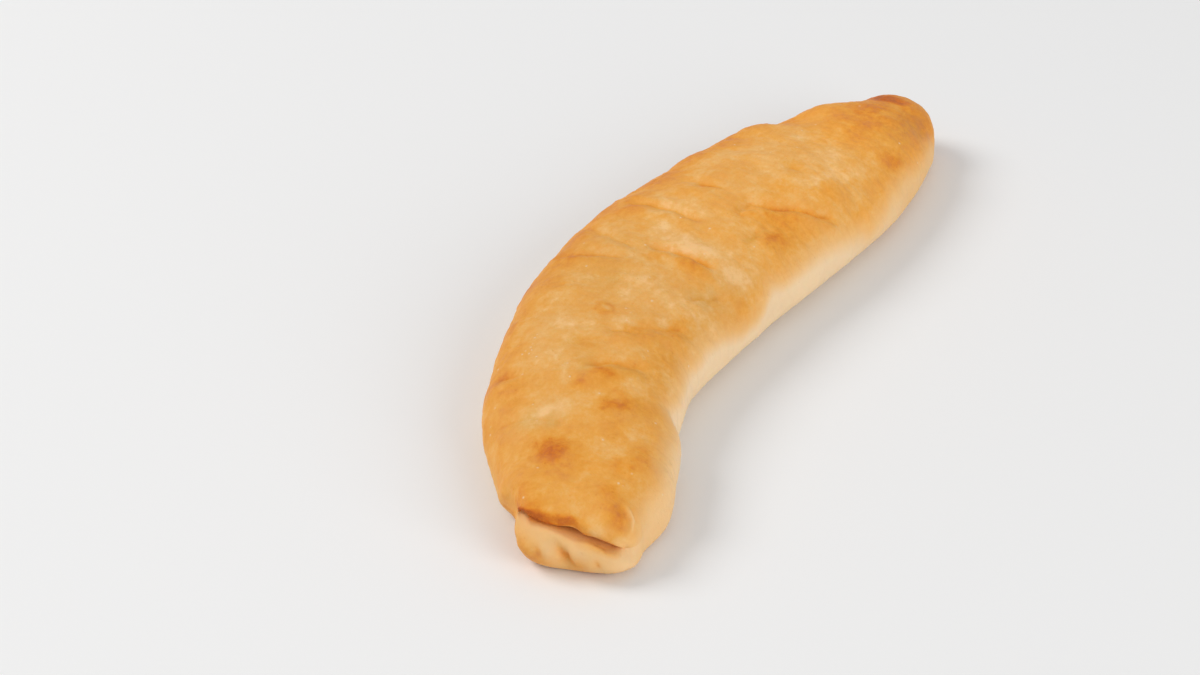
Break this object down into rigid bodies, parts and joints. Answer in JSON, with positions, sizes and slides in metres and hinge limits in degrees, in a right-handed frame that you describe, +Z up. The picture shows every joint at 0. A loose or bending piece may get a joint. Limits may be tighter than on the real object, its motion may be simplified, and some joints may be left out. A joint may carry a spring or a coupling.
{
  "type": "khachapuri",
  "caption": "Long stuffed flatbread, bent to one side, with a creased golden top, pale flanks, a rounded far end and a near end where the top crust laps over a lower lip. Rests flat.",
  "frame": {"origin": "middle of the bounding box in plan, on the flat base that the bread rests on", "axes": "+X along the bread, from the folded near end, where the top crust laps over the lower lip, to the rounded far end; +Y towards the outer side of its bend; +Z up from the base"},
  "size_m": [0.2712, 0.0876, 0.0307],
  "materials": {
    "baked_crust": "baked dough, golden brown on top and pale on the flanks, lightly brushed, satin"
  },
  "bodies": {
    "root": {"khachapuri": "baked_crust"}
  },
  "joints": []
}
